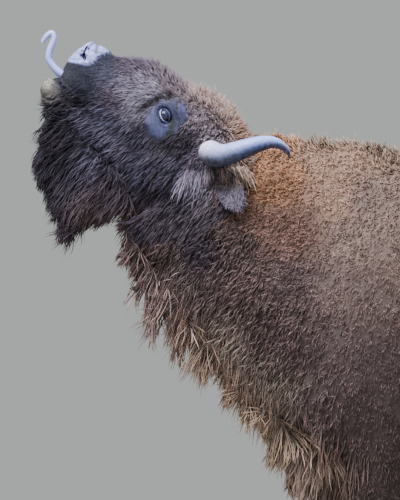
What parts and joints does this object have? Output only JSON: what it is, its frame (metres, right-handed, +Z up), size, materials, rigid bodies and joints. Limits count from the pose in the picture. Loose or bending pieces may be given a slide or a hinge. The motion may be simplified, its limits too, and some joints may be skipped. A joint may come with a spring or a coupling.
{
  "type": "wisent",
  "caption": "Life-size still model of a standing wisent cow reaching up to browse, head raised and tongue out, with beard, throat mane, horns and cloven hooves.",
  "frame": {"origin": "on the floor, under the middle of the model's bounding box", "axes": "+Z up; the animal faces -X, with her left side towards -Y"},
  "size_m": [2.365, 0.6204, 1.9173],
  "materials": {
    "dark_coat": "short dark brown hair",
    "brown_coat": "woolly brown hair",
    "leg_coat": "short black-brown hair",
    "long_hair": "long hanging locks",
    "horn": "smooth blue-grey horn, paler at the ringed base, black at the tip",
    "hoof": "dull dark horn",
    "eyeball": "wet and very dark",
    "tongue_skin": "wet, blue-grey above and pink below"
  },
  "bodies": {
    "root": {"beard": "long_hair", "ear_left": "dark_coat", "ear_right": "dark_coat", "eye_left": "eyeball", "eye_right": "eyeball", "front_left_dewclaw_inner": "hoof", "front_left_dewclaw_outer": "hoof", "front_left_hoof_inner": "hoof", "front_left_hoof_outer": "hoof", "front_left_leg": "leg_coat", "front_right_dewclaw_inner": "hoof", "front_right_dewclaw_outer": "hoof", "front_right_hoof_inner": "hoof", "front_right_hoof_outer": "hoof", "front_right_leg": "leg_coat", "head": "dark_coat", "hind_left_dewclaw_inner": "hoof", "hind_left_dewclaw_outer": "hoof", "hind_left_hoof_inner": "hoof", "hind_left_hoof_outer": "hoof", "hind_left_leg": "leg_coat", "hind_right_dewclaw_inner": "hoof", "hind_right_dewclaw_outer": "hoof", "hind_right_hoof_inner": "hoof", "hind_right_hoof_outer": "hoof", "hind_right_leg": "leg_coat", "horn_left": "horn", "horn_right": "horn", "lower_jaw": "dark_coat", "neck": "brown_coat", "tail": "brown_coat", "tail_brush": "long_hair", "throat_mane": "long_hair", "tongue": "tongue_skin", "trunk": "brown_coat"}
  },
  "joints": []
}
